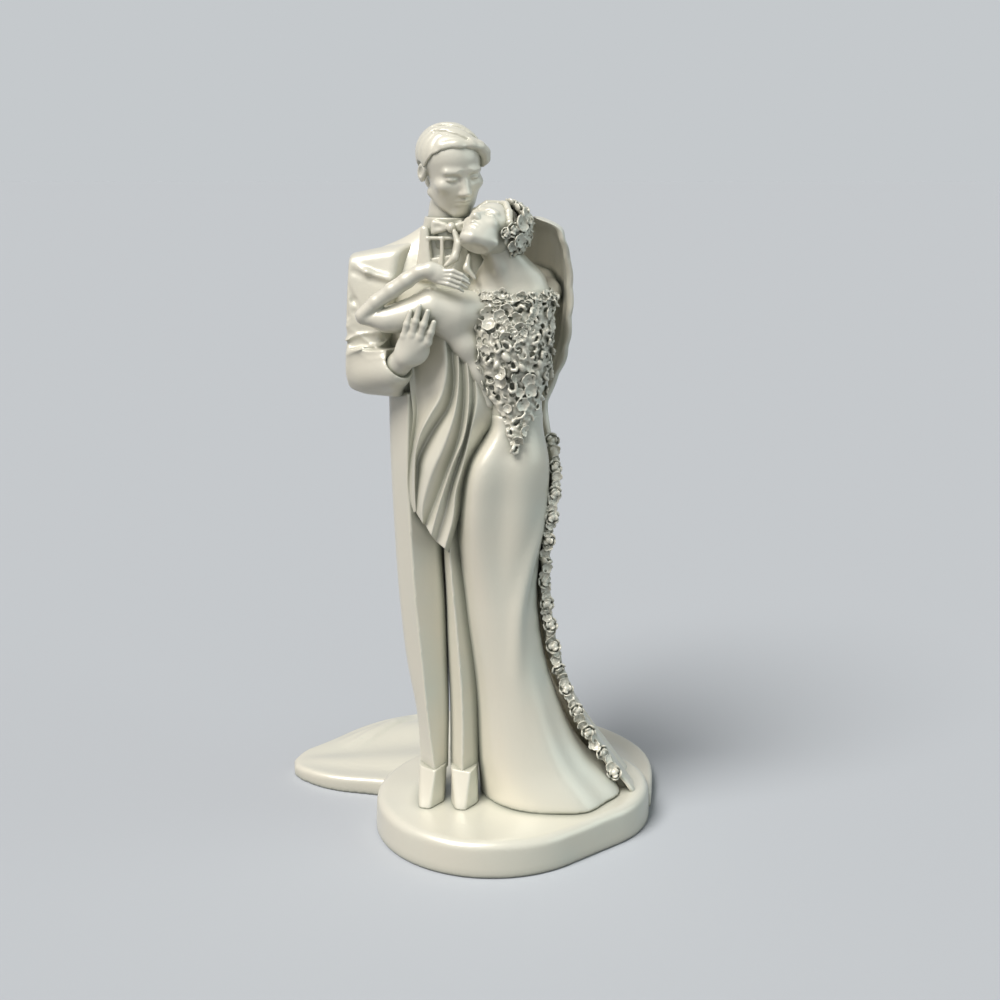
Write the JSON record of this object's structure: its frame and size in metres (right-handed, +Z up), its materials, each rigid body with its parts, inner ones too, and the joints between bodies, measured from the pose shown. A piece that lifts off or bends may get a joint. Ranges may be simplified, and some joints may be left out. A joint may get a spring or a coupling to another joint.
{
  "type": "wedding cake topper",
  "caption": "Pearl resin cake topper: a groom and a bride embrace on a rounded plinth, her veil and train sweeping round behind them.",
  "frame": {"origin": "centre of the footprint box, on the surface that the topper stands on", "axes": "+Z up, -Y to the viewer who sees the couple from the front, +X to the bride and the tail of the train at -X"},
  "size_m": [0.1026, 0.095, 0.1823],
  "materials": {
    "pearl_base": "cast resin under satin pearl lacquer, cream",
    "pearl_cloth": "cast resin under satin pearl lacquer, cream with grey-green shade",
    "pearl_skin": "cast resin under satin pearl lacquer, smooth",
    "pearl_lace": "cast resin lace relief under satin pearl lacquer"
  },
  "bodies": {
    "root": {"plinth": "pearl_base", "train": "pearl_base", "groom_right_shoe": "pearl_cloth", "groom_left_shoe": "pearl_cloth", "groom_right_trouser_leg": "pearl_cloth", "groom_left_trouser_leg": "pearl_cloth", "groom_jacket": "pearl_cloth", "jacket_front_drape": "pearl_cloth", "groom_right_sleeve": "pearl_cloth", "groom_right_forearm": "pearl_cloth", "groom_right_cuff": "pearl_cloth", "groom_right_hand": "pearl_skin", "groom_left_sleeve": "pearl_cloth", "groom_left_hand": "pearl_skin", "groom_head": "pearl_skin", "groom_hair": "pearl_cloth", "groom_collar": "pearl_cloth", "bow_tie": "pearl_cloth", "shirt_front": "pearl_cloth", "gown_skirt": "pearl_cloth", "gown_bodice": "pearl_cloth", "bodice_lace": "pearl_lace", "bride_neck_and_shoulders": "pearl_skin", "bride_head": "pearl_skin", "bride_hair": "pearl_cloth", "bride_headpiece": "pearl_lace", "bride_right_upper_arm": "pearl_skin", "bride_right_forearm": "pearl_skin", "bride_right_hand": "pearl_skin", "bride_left_arm": "pearl_skin", "veil": "pearl_lace", "veil_rose_garland": "pearl_lace"}
  },
  "joints": []
}
